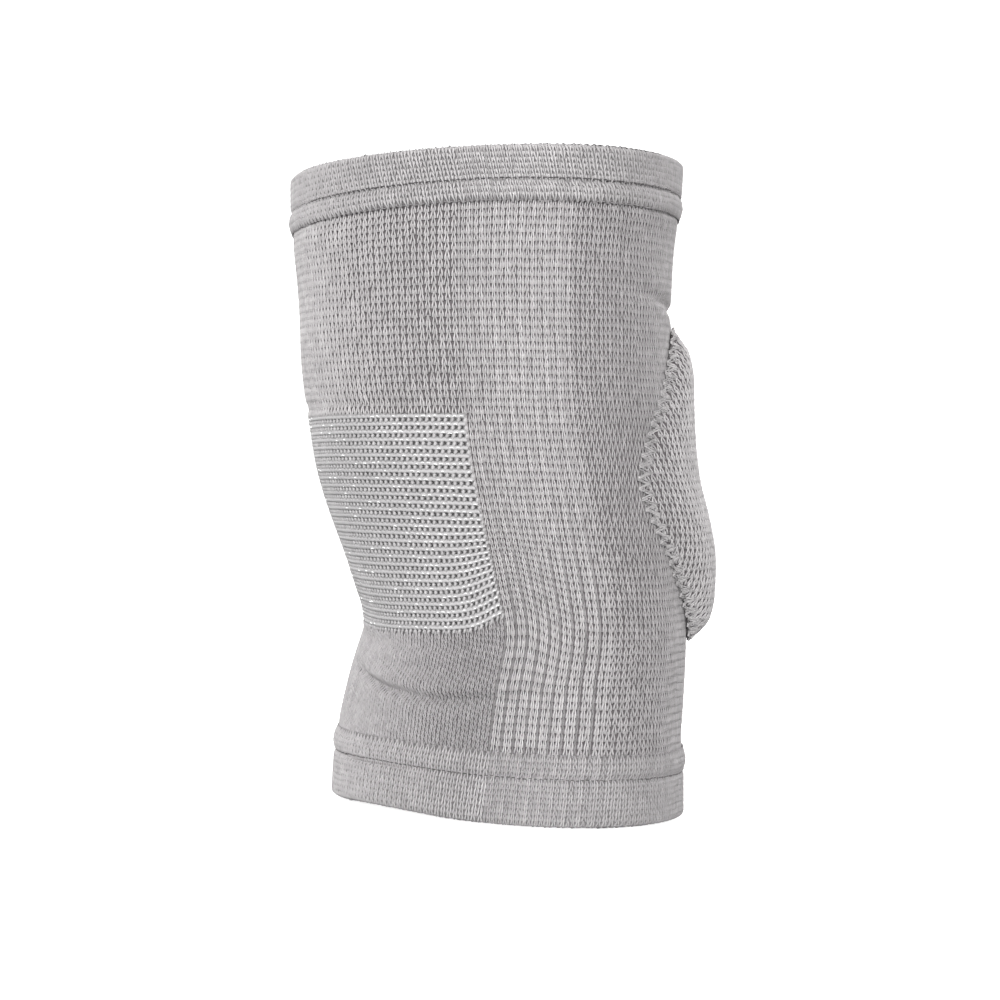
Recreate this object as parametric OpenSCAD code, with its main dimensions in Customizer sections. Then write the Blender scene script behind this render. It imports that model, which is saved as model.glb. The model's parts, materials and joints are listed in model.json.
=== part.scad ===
// Knitted elbow sleeve with a sewn-on padded elbow cap.
// +Z runs up the arm, the lower rim lies flat on z = 0 and is centred on the origin.
// -X is the inner elbow, +X is the elbow point, and Y is the axis the elbow bends about.

/* [Knit] */
// Thickness of the knitted sleeve wall
wall = 2.0; // [1.4:0.1:2.6]
// How far the folded hems stand proud of the sleeve
hem_proud = 1.5; // [1:0.1:2]
// Thickness of the elastic band inside each hem
elastic_t = 0.9; // [0.6:0.1:1.1]
// Depth of the fold at the rims, past the elastic
fold_t = 1.6; // [1:0.1:2.4]

/* [Vent panel] */
// Angle from the inner elbow to each side edge of the vent panel
vent_half_angle = 82.5; // [60:7.5:90]
// Number of white inlay rows across the vent panel
vent_rows = 28; // [14:1:30]
// Width of one inlay thread
inlay_w = 0.9; // [0.6:0.1:1.2]

/* [Elbow cap] */
// Height of the middle of the cap above the lower rim, on the elbow side
cap_mid_z = 98; // [94:1:102]
// Half of the cap's height
cap_half_h = 48; // [42:1:48]
// Angle from the elbow point to the cap's widest edge
cap_half_angle = 40; // [30:1:44]
// Thickness of the knitted cap cover
cover_t = 1.6; // [1.2:0.1:1.8]
// Thickness of the soft comfort layer under the foam
comfort_t = 1.2; // [0.8:0.1:1.4]
// Size of the foam as a share of the cover's outline
foam_share = 0.86; // [0.8:0.01:0.88]
// Thickness of the lining patch inside the sleeve
lining_t = 0.8; // [0.5:0.1:1]

/* [Stitching] */
// Thickness of the sewing thread
thread_t = 0.8; // [0.5:0.1:1]
// Width of the zigzag seam round the cap
zigzag_w = 4.6; // [3:0.1:6]
// Number of zigzags along one side of the cap
zigzags = 30; // [20:1:36]

/* [Hidden] */
// Side view of the sleeve: inner-elbow x and z, elbow-side x and z, and half depth along Y
stations = [
    [-52.1, 0, 52.1, 0, 42.5],          // 0  lower rim
    [-51.7, 19.5, 51.0, 19.5, 41.6],    // 1  lower hem edge
    [-49.4, 37, 50.5, 37.5, 41.0],      // 2  forearm
    [-46.4, 51.8, 50.3, 53, 41.2],      // 3  crease below the vent panel
    [-50.6, 64.8, 49.0, 67, 42.6],      // 4
    [-57.8, 82, 46.6, 85.5, 44.4],      // 5  elbow
    [-63.4, 98.5, 44.0, 103, 45.6],     // 6
    [-66.4, 111, 42.3, 116.5, 46.2],    // 7  top of the vent panel
    [-68.8, 125.5, 41.0, 132, 46.8],    // 8
    [-71.0, 141, 39.8, 148.5, 47.2],    // 9
    [-72.6, 154, 39.6, 162.5, 47.6],    // 10 upper arm
    [-74.1, 165.5, 40.2, 176.7, 48.0],  // 11 upper hem edge
    [-75.3, 181.3, 40.3, 192.8, 48.5],  // 12 upper rim
];
low_edge = 1;
crease = 3;
vent_top = 7;
flex_top = 10;
high_edge = 11;
top_rim = 12;
// Cap height over the sleeve, from the cap's bottom tip (-1) to its top tip (1)
cap_profile = [
    [-1, 1.6], [-0.93, 4.4], [-0.83, 7.6], [-0.7, 9.1], [-0.4, 9.9], [-0.18, 9.1], [0, 7.7],
    [0.2, 6.9], [0.4, 6.9], [0.7, 7.5], [0.84, 6.0], [0.93, 2.8], [1, 1.6],
];
cap_tip = 0.97;
cap_gap = 0.3;
seam_share = 0.96;
elbow_radius = 52;
crown_power = 2.6;
outline_power = 1.5;
slots = 48;
step = 360 / slots;
row_split = 3;
seat_gap = 0.04;
slack = 0.08;
low_row_2 = 0.66;
high_row_1 = 11.38;
edge_inset = 0.07;
stitch_h = 0.09;
inner_slots = vent_half_angle / step;

// One station between two others, by a Catmull-Rom curve through four of them
function blend4(a, b, c, d, t) =
    0.5 * (2 * b + (c - a) * t + (2 * a - 5 * b + 4 * c - d) * t * t
    + (3 * b - a - 3 * c + d) * t * t * t);
function station(s) =
    let (last = len(stations) - 1, i = min(floor(s), last - 1), t = s - i)
    let (before = i > 0 ? stations[i - 1] : 2 * stations[0] - stations[1])
    let (after = i + 2 <= last ? stations[i + 2] : 2 * stations[last] - stations[last - 1])
    blend4(before, stations[i], stations[i + 1], after, t);
// A point of the tube: angle round it from the elbow side, station along it, height off it
function on_sleeve(angle, s, off) =
    let (r = station(s), half = [r[2] - r[0], r[3] - r[1]] / 2, reach = norm(half))
    let (mid = [r[0] + r[2], r[1] + r[3]] / 2, out = half * (reach + off) / reach)
    [
        mid[0] + out[0] * cos(angle),
        (r[4] + off) * sin(angle),
        mid[1] + out[1] * cos(angle)
    ];
// Rows from station a to station b, each interval cut into row_split
function rows(a, b) = [for (k = [0 : (b - a) * row_split]) a + k / row_split];
// The station at height z on the elbow side
function station_at(z) = lookup(z, [for (i = [0 : len(stations) - 1]) [stations[i][3], i]]);

// Fabric between heights lo and hi over the slots and rows for which keep() is true
module knit(row_list, lo, hi, keep = function (i, j) true) {
    n = len(row_list);
    function at(i, j, k) = (j * slots + (i % slots)) * 2 + k;
    function kept(i, j) = j >= 0 && j < n - 1 && keep((i + slots) % slots, j);
    points = [for (j = [0 : n - 1], i = [0 : slots - 1], k = [0, 1])
        on_sleeve(i * step, row_list[j], k == 0 ? lo : hi)];
    faces = [for (j = [0 : n - 2], i = [0 : slots - 1]) if (kept(i, j))
        let (a = at(i, j, 1), b = at(i + 1, j, 1), c = at(i + 1, j + 1, 1), d = at(i, j + 1, 1))
        each concat(
            [[a, d, c], [a, c, b], [a - 1, b - 1, c - 1], [a - 1, c - 1, d - 1]],
            kept(i, j - 1) ? [] : [[a, b, a - 1], [b, b - 1, a - 1]],
            kept(i, j + 1) ? [] : [[c, d, d - 1], [c, d - 1, c - 1]],
            kept(i - 1, j) ? [] : [[d, a, d - 1], [a, a - 1, d - 1]],
            kept(i + 1, j) ? [] : [[b, c, c - 1], [b, c - 1, b - 1]]
        )];
    polyhedron(points, faces);
}
// A closed profile of [station, height] points swept once round the sleeve
module band(profile) {
    n = len(profile);
    points = [for (i = [0 : slots - 1], p = profile) on_sleeve(i * step, p[0], p[1])];
    faces = [for (i = [0 : slots - 1], k = [0 : n - 1])
        let (a = i * n + k, b = i * n + (k + 1) % n)
        let (c = ((i + 1) % slots) * n + (k + 1) % n, d = ((i + 1) % slots) * n + k)
        each [[a, b, c], [a, c, d]]];
    polyhedron(points, faces);
}
// A solid between two surfaces, low(u, v) and high(u, v), each on a grid of nu by nv cells
module quilt(nu, nv, low, high) {
    function at(u, v, k) = (v * (nu + 1) + u) * 2 + k;
    points = [for (v = [0 : nv], u = [0 : nu], k = [0, 1])
        k == 0 ? low(u / nu, v / nv) : high(u / nu, v / nv)];
    skins = [for (v = [0 : nv - 1], u = [0 : nu - 1])
        let (a = at(u, v, 1), b = at(u + 1, v, 1), c = at(u + 1, v + 1, 1), d = at(u, v + 1, 1))
        each [[a, d, c], [a, c, b], [a - 1, b - 1, c - 1], [a - 1, c - 1, d - 1]]];
    ends = [for (u = [0 : nu - 1])
        let (a = at(u, 0, 1), b = at(u + 1, 0, 1), c = at(u + 1, nv, 1), d = at(u, nv, 1))
        each [[a, b, a - 1], [b, b - 1, a - 1], [c, d, d - 1], [c, d - 1, c - 1]]];
    sides = [for (v = [0 : nv - 1])
        let (a = at(0, v, 1), b = at(nu, v, 1), c = at(nu, v + 1, 1), d = at(0, v + 1, 1))
        each [[d, a, d - 1], [a, a - 1, d - 1], [b, c, c - 1], [b, c - 1, b - 1]]];
    polyhedron(points, concat(skins, ends, sides));
}
// One row of short stitches at station s, standing on the fabric at height off
module stitch_row(s, off) {
    for (i = [0 : slots - 1])
        quilt(1, 1,
            function (u, v) on_sleeve((i + 0.18 + 0.64 * u) * step, s + (v - 0.5) * stitch_h, off),
            function (u, v) on_sleeve((i + 0.18 + 0.64 * u) * step, s + (v - 0.5) * stitch_h,
                off + thread_t));
}

// True on the slots of the inner half of the sleeve, between the vent panel's side edges
function inner(i) = abs(i + 0.5 - slots / 2) < inner_slots;
// True on the ribbed slots beside the inner half, on the near side (-Y) or the far side (+Y)
function ribbed(i, near) =
    let (from_inner = abs(i + 0.5 - slots / 2) - inner_slots)
    from_inner > 0 && from_inner < 5 && (i >= slots / 2) == near;

module lower_sleeve() {
    color("silver") knit(rows(low_edge, crease), -wall, 0,
        function (i, j) !inner(i) && !ribbed(i, true) && !ribbed(i, false));
}
module crease_panel() {
    color("darkgray") knit(rows(low_edge, crease), -wall, 0, function (i, j) inner(i));
}
module rib_panel(near) {
    color("lightgray") knit(rows(low_edge, crease), -wall, 0, function (i, j) ribbed(i, near));
}
module elbow_sleeve() {
    vent_cells = (vent_top - crease) * row_split;
    list = concat(rows(crease, flex_top - 1 / row_split), [flex_top - seat_gap]);
    color("silver") knit(list, -wall, 0, function (i, j) !inner(i) || j >= vent_cells);
}
module vent_panel() {
    color("gainsboro") knit(rows(crease, vent_top), -wall, 0, function (i, j) inner(i));
}
module vent_inlay_threads() {
    pitch = (vent_top - crease) / vent_rows;
    half = (slots / 2 - inner_slots) * step;
    span = 360 - 2 * half;
    thread_half = pitch * inlay_w / 5;
    color("white") for (k = [0 : vent_rows - 1])
        quilt(slots / 4, 1,
            function (u, v) on_sleeve(half + span * u,
                crease + (k + 0.5) * pitch + (v - 0.5) * 2 * thread_half, 0.12),
            function (u, v) on_sleeve(half + span * u,
                crease + (k + 0.5) * pitch + (v - 0.5) * thread_half, inlay_w));
}
module upper_sleeve() {
    color("silver") knit(rows(flex_top, high_edge), -wall, 0);
}
// A hem folded over its elastic: edge and rim are stations, in is the inside station of the fold
module hem(edge, rim, in) {
    turn = rim > edge ? 1 : -1;
    elastic_lo = -elastic_t;
    outline = [
        [edge, 0], [edge, hem_proud * 0.8], [edge + 0.12 * turn, hem_proud],
        [(edge + rim) / 2, hem_proud], [rim - 0.06 * turn, hem_proud], [rim, hem_proud * 0.6],
        [rim, -wall * 0.7], [rim - 0.06 * turn, -wall], [(edge + rim) / 2, -wall], [edge, -wall],
        [edge, elastic_lo], [(edge + rim) / 2, elastic_lo], [in, elastic_lo], [in, 0],
        [(edge + rim) / 2, 0],
    ];
    color("silver") band(turn > 0 ? outline : [for (k = [len(outline) - 1 : -1 : 0]) outline[k]]);
}
// The elastic that lies loose in a hem's fold
module elastic(edge, in) {
    end = in + (edge - in) * slack;
    middle = (edge + in) / 2;
    hi = -elastic_t * slack;
    lo = -elastic_t * (1 - slack);
    outline = [[edge, hi], [middle, hi], [end, hi], [end, lo], [middle, lo], [edge, lo]];
    color("whitesmoke") band(in > edge ? outline : [for (k = [5 : -1 : 0]) outline[k]]);
}
low_in = fold_t / stations[low_edge][1];
high_in = top_rim - fold_t / (stations[top_rim][1] - stations[high_edge][1]);

// The cap's outline and crown: u runs across it and v up it, both from 0 to 1
function cap_up(v, share) = (2 * v - 1) * cap_tip * share;
function cap_angle(u, v, share) =
    (2 * u - 1) * share * cap_half_angle * (1 - pow(abs(cap_up(v, share)), outline_power));
function cap_rise(u, v, share) =
    let (top = lookup(cap_up(v, share), cap_profile))
    cover_t + (top - cover_t) * (1 - pow(abs(2 * u - 1) * share, crown_power));
function cap_point(u, v, share, off) =
    on_sleeve(cap_angle(u, v, share), station_at(cap_mid_z + cap_half_h * cap_up(v, share)), off);

module cap_cover() {
    color("lightgray") quilt(14, 26,
        function (u, v) cap_point(u, v, 1, cap_gap + cap_rise(u, v, 1) - cover_t),
        function (u, v) cap_point(u, v, 1, cap_gap + cap_rise(u, v, 1)));
}
module cap_foam_core() {
    color("dimgray") quilt(12, 22,
        function (u, v) cap_point(u, v, foam_share, cap_gap + comfort_t),
        function (u, v) cap_point(u, v, foam_share,
            max(cap_rise(u, v, foam_share) - cover_t - 0.25, cap_gap + comfort_t + 0.4)));
}
module cap_comfort_foam() {
    color("gray") quilt(12, 22,
        function (u, v) cap_point(u, v, foam_share, cap_gap),
        function (u, v) cap_point(u, v, foam_share, cap_gap + comfort_t));
}
module cap_lining() {
    color("whitesmoke") quilt(12, 22,
        function (u, v) cap_point(u, v, 1, -wall - cap_gap - lining_t),
        function (u, v) cap_point(u, v, 1, -wall - cap_gap));
}
// Zigzag thread that runs over the cover's edge and into the sleeve, up both sides of the cap
module cap_zigzag_seam() {
    legs = zigzags * 2;
    deg_per_mm = 180 / (PI * elbow_radius);
    function outside(k) = k % 2 == 0;
    function seam(u, k, side, off) =
        let (swing = zigzag_w * (outside(k) ? 0.95 : 0.1))
        let (edge = cap_angle(1, k / legs, seam_share) + swing * deg_per_mm)
        let (z = cap_mid_z + cap_half_h * cap_up(k / legs, seam_share))
        on_sleeve(side * edge + (u - 0.5) * 3 * thread_t * deg_per_mm, station_at(z),
            off + (outside(k) ? 0 : cover_t));
    color("white") for (side = [-1, 1])
        quilt(1, legs,
            function (u, v) seam(u, round(v * legs), side, -thread_t / 3),
            function (u, v) seam(u, round(v * legs), side, thread_t));
}

lower_sleeve();
crease_panel();
rib_panel(true);  // rib_panel_near
rib_panel(false);  // rib_panel_far
hem(low_edge, 0, low_in);  // lower_cuff_hem
elastic(low_edge, low_in);  // lower_cuff_elastic
stitch_row(low_edge - edge_inset, hem_proud);  // lower_hem_edge_stitch
stitch_row(low_row_2, hem_proud);  // lower_hem_band_stitch
elbow_sleeve();
vent_panel();
vent_inlay_threads();
upper_sleeve();
hem(high_edge, top_rim, high_in);  // upper_cuff_hem
elastic(high_edge, high_in);  // upper_cuff_elastic
stitch_row(high_edge + edge_inset, hem_proud);  // upper_hem_edge_stitch
stitch_row(high_row_1, hem_proud);  // upper_hem_band_stitch
cap_cover();
cap_foam_core();
cap_comfort_foam();
cap_lining();
cap_zigzag_seam();
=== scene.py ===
"""A knitted elbow sleeve with a padded cap, laid out in the order it is knitted and sewn."""
import json
from math import radians

import bpy
import numpy as np
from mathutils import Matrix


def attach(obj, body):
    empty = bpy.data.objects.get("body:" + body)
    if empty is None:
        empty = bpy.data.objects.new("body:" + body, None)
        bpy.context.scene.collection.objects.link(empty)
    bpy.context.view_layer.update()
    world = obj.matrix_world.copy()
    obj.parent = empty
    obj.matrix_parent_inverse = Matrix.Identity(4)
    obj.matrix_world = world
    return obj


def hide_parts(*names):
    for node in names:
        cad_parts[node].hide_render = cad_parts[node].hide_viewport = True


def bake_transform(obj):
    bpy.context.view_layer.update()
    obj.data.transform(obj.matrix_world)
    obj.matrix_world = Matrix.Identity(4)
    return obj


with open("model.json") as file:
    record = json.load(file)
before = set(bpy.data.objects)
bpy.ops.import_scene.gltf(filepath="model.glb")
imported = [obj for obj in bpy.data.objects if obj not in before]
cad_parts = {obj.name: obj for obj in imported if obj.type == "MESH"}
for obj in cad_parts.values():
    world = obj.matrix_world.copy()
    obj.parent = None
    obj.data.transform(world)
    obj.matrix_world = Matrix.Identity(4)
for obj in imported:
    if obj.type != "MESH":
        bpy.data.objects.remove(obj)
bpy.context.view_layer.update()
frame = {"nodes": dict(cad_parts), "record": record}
rng = np.random.default_rng(7)

# The camera stands level with the middle of the sleeve, about 0.6 m off on the near side,
# and is rolled a little so that the sleeve leans as it does on a hanging arm.
view_width = 0.300
view_distance = 0.58
roll = radians(-3.5)
camera_data = bpy.data.cameras.new("camera")
camera_data.sensor_width = 36
camera_data.lens = camera_data.sensor_width * view_distance / view_width
camera = bpy.data.objects.new("camera", camera_data)
camera.location = (-0.0078, -view_distance, 0.0900)
camera.rotation_euler = (radians(90), roll, 0)
bpy.context.scene.collection.objects.link(camera)
bpy.context.scene.camera = camera
bpy.context.scene.view_settings.view_transform = "Standard"

# The studio: a round pale floor that sweeps up into a pale wall and lends the sleeve no light,
# two soft lamps by the camera, one above, two behind, and even light from all round.
floor_radius = 2.4
sweep_radius = 0.6
wall_height = 3.5
wall_radius = floor_radius + sweep_radius
floor_drop = 0.0008
sectors = 96
turn = np.linspace(0, np.pi / 2, 17)
profile_r = np.concatenate([[0.02], floor_radius + sweep_radius * np.sin(turn), [wall_radius]])
profile_z = np.concatenate([[0.0], sweep_radius * (1 - np.cos(turn)), [wall_height]]) - floor_drop
around = np.linspace(0, 2 * np.pi, sectors + 1)[:-1, None]
places = np.stack([profile_r * np.cos(around), profile_r * np.sin(around), profile_z + 0 * around], -1)
width = len(profile_r)
i, j = np.meshgrid(np.arange(sectors), np.arange(width - 1), indexing="ij")
here, beside = i * width + j, (i + 1) % sectors * width + j
quads = np.stack([here, here + 1, beside + 1, beside], -1)
floor_middle = [list(range(0, sectors * width, width))]
studio = bpy.data.meshes.new("studio")
inward = quads[..., ::-1].reshape(-1, 4).tolist()
studio.from_pydata(places.reshape(-1, 3).tolist(), [], inward + floor_middle)
studio.polygons.foreach_set("use_smooth", np.ones(len(studio.polygons), bool))
backdrop = bpy.data.objects.new("backdrop", studio)
bpy.context.scene.collection.objects.link(backdrop)
paper = bpy.data.materials.new("paper")
paper.use_nodes = True
paper_shader = paper.node_tree.nodes["Principled BSDF"]
paper_shader.inputs["Base Color"].default_value = (0.93, 0.93, 0.93, 1)
paper_shader.inputs["Roughness"].default_value = 0.9
paper_shader.inputs["Emission Color"].default_value = (1, 1, 1, 1)
paper_shader.inputs["Emission Strength"].default_value = 0.7
studio.materials.append(paper)
backdrop.visible_diffuse = False
for name, place, aim, size, power in (
        ("key_lamp", (-0.25, -2.0, 0.55), (0, 0, 0.1), 0.9, 56),
        ("fill_lamp", (0.35, -1.9, 0.25), (0, 0, 0.1), 0.9, 18),
        ("top_lamp", (0.0, 0.4, 1.9), (0, 0.2, 0.1), 1.2, 12),
        ("left_back_lamp", (-1.5, 1.4, 0.5), (0, 0, 0.1), 0.9, 52),
        ("right_back_lamp", (1.5, 1.4, 0.5), (0, 0, 0.1), 0.9, 52)):
    lamp = bpy.data.lights.new(name, "AREA")
    lamp.size = size
    lamp.energy = power
    stand = bpy.data.objects.new(name, lamp)
    stand.location = place
    reach = np.subtract(aim, place)
    stand.rotation_euler = (np.arctan2(np.hypot(reach[0], reach[1]), -reach[2]), 0,
                            np.arctan2(-reach[0], reach[1]))
    stand.visible_camera = False
    bpy.context.scene.collection.objects.link(stand)
world = bpy.data.worlds.new("studio_air")
world.use_nodes = True
world.node_tree.nodes["Background"].inputs["Color"].default_value = (1, 1, 1, 1)
world.node_tree.nodes["Background"].inputs["Strength"].default_value = 0.44
bpy.context.scene.world = world

# The sleeve's ground: one knitted tube of thin elastic yarn that every other yarn is laid on.
# It is knitted in the round, 2 mm thick with its stitches, and stretched over the arm.
ground_depth = 0.55
ground_thick = 1.1
sleeve_nodes = ("lower_sleeve", "crease_panel", "rib_panel_near", "rib_panel_far",
                "elbow_sleeve", "vent_panel", "upper_sleeve")


def node_points(*nodes):
    """Every corner of these CAD nodes, in mm."""
    found = []
    for n in nodes:
        mesh = frame["nodes"][n].data
        co = np.empty(len(mesh.vertices) * 3)
        mesh.vertices.foreach_get("co", co)
        found.append(co.reshape(-1, 3) * 1000)
    return np.concatenate(found)


def side_line(points, outward):
    """Where a tube's outer skin cuts the XZ plane on one side: each row's outermost (x, z)."""
    side = points[(abs(points[:, 1]) < 0.01) & (points[:, 0] * outward > 20)]
    side = side[np.argsort(side[:, 2])]
    rows = np.split(side, np.nonzero(np.diff(side[:, 2]) > 1)[0] + 1)
    return np.array([row[np.argmax(row[:, 0] * outward)][[0, 2]] for row in rows])


tube = node_points(*sleeve_nodes, "lower_cuff_elastic", "upper_cuff_elastic")
inner_line, outer_line = side_line(tube, -1), side_line(tube, 1)
middles = (inner_line + outer_line) / 2
half_depth = np.array([
    tube[np.hypot(tube[:, 0] - x, tube[:, 2] - z) < 0.6][:, 1].max() for x, z in middles])
rings = np.column_stack([inner_line, outer_line, half_depth])

mounts = {m["name"]: np.array(m["pos_m"])[[0, 2]] * 1000 for m in frame["record"]["mounts"]}
ring_heights = np.linalg.norm(middles[0] - mounts["forearm_opening"]) + np.concatenate(
    [[0], np.cumsum(np.hypot(*np.diff(middles, axis=0).T))])
top = ring_heights[-1] + np.linalg.norm(middles[-1] - mounts["upper_arm_opening"])
slopes = np.gradient(rings, ring_heights, axis=0)
per_degree = 0.95
half_round = 180 * per_degree
# Each crease of the worn forearm: its height, bow, depth and width, in mm. Then the heights of
# the two rows of thread in each cuff: the inner row first, and the one at the sewn edge.
creases = ((33.4, 3.6, 2.2, 1.3), (42.5, -2.0, 0.4, 2.4), (25.5, 2.5, 0.3, 1.8))
lower_rows, upper_rows = (13.0, 19.7), (top - 10.0, 172.9)


def ring_at(height):
    """The ring this far up: a cubic curve through its two neighbours and their slopes, and past
    the last ring the straight line along its slope."""
    k = np.clip(np.searchsorted(ring_heights, height) - 1, 0, len(rings) - 2)
    span = (ring_heights[k + 1] - ring_heights[k])[..., None]
    t = (height - ring_heights[k])[..., None] / span
    c = np.clip(t, 0, 1)
    curve = ((1 + 2 * c) * (1 - c) ** 2 * rings[k] + c * (1 - c) ** 2 * span * slopes[k]
             + c * c * (3 - 2 * c) * rings[k + 1] - c * c * (1 - c) * span * slopes[k + 1])
    end_slope = np.where(t < 0, slopes[k], slopes[k + 1])
    return curve + (t - c) * span * end_slope


def soft_step(x, low, high):
    """0 below low, 1 above high and a smooth 3t^2 - 2t^3 between."""
    t = np.clip((x - low) / (high - low), 0, 1)
    return t * t * (3 - 2 * t)


def folds(turn, height):
    """How far the worn cloth stands off its ring, in mm. Bell curves of the height give three
    creases across the inside of the forearm, each with a swell above it, a fold under the vent
    and a faint one over it, a dent up the forearm and a tuck above the cap. Sines give small
    slow waves all over and the roll between the two rows of thread in each cuff."""
    side = abs(turn)
    inside = np.exp(-((side - 52) / 42) ** 4) * soft_step(side, 8, 30)
    rise = 0.35 * np.sin(height / 9.0 + turn / 31) * np.sin(height / 17.0 - turn / 19)
    rise += 0.25 * np.sin(height / 5.3 - turn / 23 + 1.7) * np.sin(turn / 14)
    near = soft_step(turn, -40, 30)
    for line, bow, depth, wide in creases:
        depth = depth * (0.35 + 0.65 * near)
        crease = line + bow * (0.3 + 0.7 * near) * ((side - 62) / 34) ** 2 + 3.0 * (1 - near)
        rise -= depth * inside * np.exp(-((height - crease) / wide) ** 2)
        rise += 0.5 * depth * inside * np.exp(-((height - crease - 3.6) / 2.4) ** 2)
    under_vent = 47.5 + 3.0 * ((side - 40) / 45) ** 2
    rise -= 0.8 * np.exp(-((height - under_vent) / 1.8) ** 2) * np.exp(-((side - 45) / 45) ** 4)
    rise -= 0.6 * np.exp(-((side - 23) / 3.0) ** 2) * np.exp(-((height - 38) / 13) ** 4)
    rise -= 1.6 * np.exp(-((height - 147 - 0.1 * (180 - side)) / 1.7) ** 2) * soft_step(side, 128, 170)
    rise -= 0.6 * np.exp(-((height - 118.5) / 1.6) ** 2) * soft_step(side, 100, 80)
    rise *= soft_step(height, 19, 24) * soft_step(height, 172, 167)
    for seam, edge in (lower_rows, upper_rows):
        share = np.clip((height - seam) / (edge - seam), 0, 1)
        rise += 0.50 * np.sin(np.pi * share) ** 2 - 0.70 * np.exp(-((height - seam) / 0.6) ** 2)
        rise -= 0.20 * np.exp(-((height - edge) / 0.6) ** 2)
    return rise


def on_sleeve(cloth):
    """A point of the flat cloth (mm round from the inner elbow, mm up, mm out) put on the worn
    sleeve, in metres: the ring's middle, less its half width times the cosine of the turn, and
    its half depth times the sine towards the near side. The height is first shifted a few mm,
    at the foot of the vent, round the upper hem and inside the lower rim, where rows run uneven."""
    round_, height, out = np.moveaxis(np.asarray(cloth, float), -1, 0)
    turn = round_ / per_degree
    side = abs((turn + 180) % 360 - 180)
    pulled = soft_step(height, 34, 54) * soft_step(height, 88, 56)
    uneven = 6.5 * np.exp(-((side - 88) / 12.0) ** 2) - 1.6 * np.exp(-((side - 30) / 30) ** 2)
    height = height + pulled * uneven
    hem = 1.1 * np.sin(np.radians(turn)) ** 2 * soft_step(height, 150, 172) * soft_step(height, 189, 176)
    height = height + hem
    height = height + 1.5 * np.exp(-((side - 45) / 28) ** 2) * soft_step(height, 28, 5)
    out = out + folds((turn + 180) % 360 - 180, height)
    ring = ring_at(height)
    middle, half = (ring[..., 0:2] + ring[..., 2:4]) / 2, (ring[..., 2:4] - ring[..., 0:2]) / 2
    reach = np.hypot(half[..., 0], half[..., 1])
    angle = np.radians(turn)
    grow = ((reach + out) / reach * np.cos(angle))[..., None]
    flat = middle - half * grow
    depth = -(ring[..., 4] + out) * np.sin(angle)
    return np.stack([flat[..., 0], depth, flat[..., 1]], -1) / 1000


def make_piece(name, points, faces, materials, part=None, tone=None, uv=None, smooth=True):
    """One mesh object from arrays: points (N, 3) in metres, faces as rows of 3 or 4 corners,
    part the material number of each face, tone and uv one value for each point."""
    mesh = bpy.data.meshes.new(name)
    sizes = np.concatenate([np.full(len(f), f.shape[1]) for f in faces])
    loops = np.concatenate([f.ravel() for f in faces]).astype(np.int32)
    mesh.vertices.add(len(points))
    mesh.vertices.foreach_set("co", np.ascontiguousarray(points, np.float32).ravel())
    mesh.loops.add(len(loops))
    mesh.loops.foreach_set("vertex_index", loops)
    mesh.polygons.add(len(sizes))
    mesh.polygons.foreach_set("loop_start", np.concatenate([[0], np.cumsum(sizes)[:-1]]).astype(np.int32))
    mesh.polygons.foreach_set("use_smooth", np.full(len(sizes), smooth))
    if part is not None:
        mesh.polygons.foreach_set("material_index", np.asarray(part, np.int32))
    if tone is not None:
        mesh.attributes.new("tone", "FLOAT", "POINT").data.foreach_set("value", tone.astype(np.float32))
    if uv is not None:
        mesh.uv_layers.new(name="cloth").data.foreach_set("uv", uv[loops].astype(np.float32).ravel())
    mesh.update(calc_edges=True)
    mesh.validate()
    for material in materials:
        mesh.materials.append(material)
    piece = bpy.data.objects.new(name, mesh)
    bpy.context.scene.collection.objects.link(piece)
    return piece


def closed_band(profile, around):
    """A band of cloth round the sleeve: a closed outline of (height, out) points, carried once
    round. Its outline runs up the outer face and down the inner one, so faces point outward."""
    angle = np.linspace(-half_round, half_round, around, endpoint=False)
    profile = np.asarray(profile, float)
    cloth = np.empty((around, len(profile), 3))
    cloth[..., 0] = angle[:, None]
    cloth[..., 1:] = profile[None]
    i, j = np.meshgrid(np.arange(around), np.arange(len(profile)), indexing="ij")
    right, above = (i + 1) % around, (j + 1) % len(profile)
    n = len(profile)
    faces = np.stack([i * n + j, right * n + j, right * n + above, i * n + above], -1).reshape(-1, 4)
    return cloth.reshape(-1, 3), faces


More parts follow.
